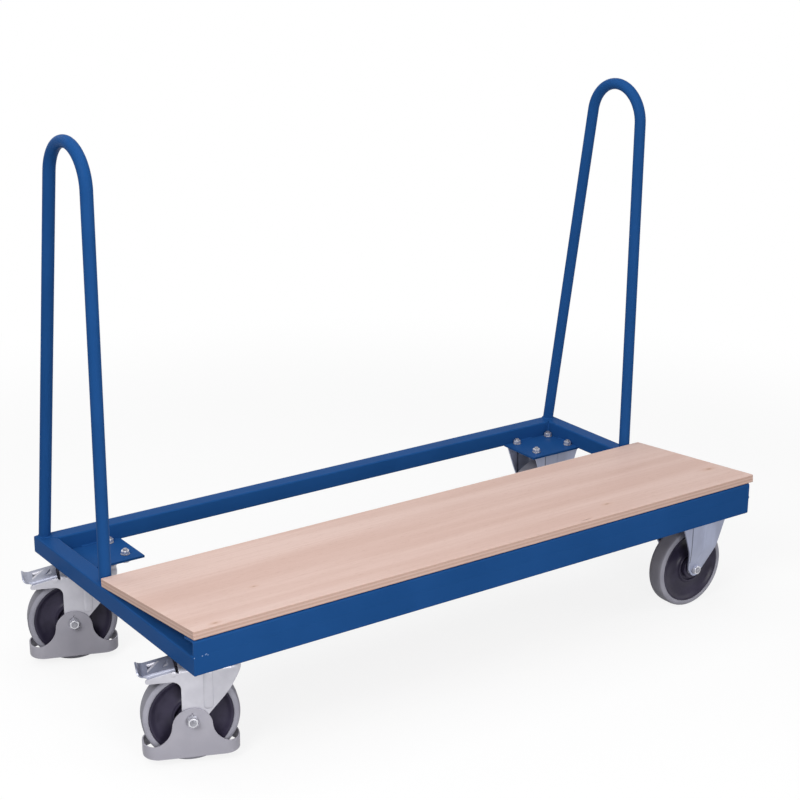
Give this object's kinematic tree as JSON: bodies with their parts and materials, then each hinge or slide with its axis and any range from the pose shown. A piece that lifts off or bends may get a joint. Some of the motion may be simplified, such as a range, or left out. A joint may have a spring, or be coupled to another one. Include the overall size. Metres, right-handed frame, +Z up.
{
  "type": "sheet goods cart",
  "caption": "Cart for sheet goods: welded square-tube frame with a sloping plywood deck, bent-tube bows at both ends, braked swivel casters with foot guards and fixed casters.",
  "frame": {"origin": "on the floor, under the middle of the whole cart's box at rest", "axes": "+X along the deck towards the fixed casters, -Y towards the loading side, +Z up"},
  "size_m": [1.5736, 0.735, 1.2127],
  "materials": {
    "blue_paint": "semi-gloss blue powder coat",
    "plywood": "raw beech plywood with layered edges",
    "zinc": "bright zinc-plated pressed steel",
    "guard_plastic": "grey moulded plastic",
    "tyre_rubber": "grey solid rubber",
    "hub_plastic": "dark moulded plastic"
  },
  "bodies": {
    "frame": {"front_rail": "blue_paint", "rear_rail": "blue_paint", "left_rail": "blue_paint", "right_rail": "blue_paint", "deck_support_rail": "blue_paint", "front_riser": "blue_paint", "left_bow": "blue_paint", "right_bow": "blue_paint", "deck": "plywood", "front_left_mount_plate": "blue_paint", "rear_left_mount_plate": "blue_paint", "front_right_mount_plate": "blue_paint", "rear_right_mount_plate": "blue_paint", "front_left_top_plate": "zinc", "front_left_swivel_race": "zinc", "front_left_king_bolt": "zinc", "rear_left_top_plate": "zinc", "rear_left_swivel_race": "zinc", "rear_left_king_bolt": "zinc", "front_right_fork": "zinc", "front_right_axle_bolt": "zinc", "front_right_axle_nut": "zinc", "front_right_axle_sleeve": "zinc", "rear_right_fork": "zinc", "rear_right_axle_bolt": "zinc", "rear_right_axle_nut": "zinc", "rear_right_axle_sleeve": "zinc"},
    "front_left_swivel": {"front_left_fork": "zinc", "front_left_foot_guard": "guard_plastic", "front_left_axle_bolt": "zinc", "front_left_axle_nut": "zinc", "front_left_axle_sleeve": "zinc", "front_left_pedal_pin": "zinc"},
    "front_left_wheel": {"front_left_tyre": "tyre_rubber", "front_left_hub": "hub_plastic", "front_left_wheel_bearing": "zinc"},
    "front_left_pedal": {"front_left_brake_pedal": "zinc", "front_left_brake_shoe": "hub_plastic"},
    "rear_left_swivel": {"rear_left_fork": "zinc", "rear_left_foot_guard": "guard_plastic", "rear_left_axle_bolt": "zinc", "rear_left_axle_nut": "zinc", "rear_left_axle_sleeve": "zinc", "rear_left_pedal_pin": "zinc"},
    "rear_left_wheel": {"rear_left_tyre": "tyre_rubber", "rear_left_hub": "hub_plastic", "rear_left_wheel_bearing": "zinc"},
    "rear_left_pedal": {"rear_left_brake_pedal": "zinc", "rear_left_brake_shoe": "hub_plastic"},
    "front_right_wheel": {"front_right_tyre": "tyre_rubber", "front_right_hub": "hub_plastic", "front_right_wheel_bearing": "zinc"},
    "rear_right_wheel": {"rear_right_tyre": "tyre_rubber", "rear_right_hub": "hub_plastic", "rear_right_wheel_bearing": "zinc"}
  },
  "joints": [
    {"name": "front_left_turn", "type": "hinge", "parent": "frame", "child": "front_left_swivel", "pos_m": [-0.62068, -0.2735, 0.2201], "axis": [0, 0, 1], "continuous": true},
    {"name": "front_left_spin", "type": "hinge", "parent": "front_left_swivel", "child": "front_left_wheel", "pos_m": [-0.6753, -0.25121, 0.1], "axis": [0.3778, 0.9259, 0], "continuous": true},
    {"name": "front_left_brake", "type": "hinge", "parent": "front_left_swivel", "child": "front_left_pedal", "pos_m": [-0.70678, -0.23836, 0.204], "axis": [-0.3778, -0.9259, 0], "range_deg": [0, 9]},
    {"name": "rear_left_turn", "type": "hinge", "parent": "frame", "child": "rear_left_swivel", "pos_m": [-0.62068, 0.2735, 0.2201], "axis": [0, 0, 1], "continuous": true},
    {"name": "rear_left_spin", "type": "hinge", "parent": "rear_left_swivel", "child": "rear_left_wheel", "pos_m": [-0.67601, 0.29397, 0.1], "axis": [0.3469, 0.9379, 0], "continuous": true},
    {"name": "rear_left_brake", "type": "hinge", "parent": "rear_left_swivel", "child": "rear_left_pedal", "pos_m": [-0.7079, 0.30577, 0.204], "axis": [-0.3469, -0.9379, 0], "range_deg": [0, 9]},
    {"name": "front_right_spin", "type": "hinge", "parent": "frame", "child": "front_right_wheel", "pos_m": [0.66932, -0.2735, 0.1], "axis": [0, 1, 0], "continuous": true},
    {"name": "rear_right_spin", "type": "hinge", "parent": "frame", "child": "rear_right_wheel", "pos_m": [0.66932, 0.2735, 0.1], "axis": [0, 1, 0], "continuous": true}
  ]
}
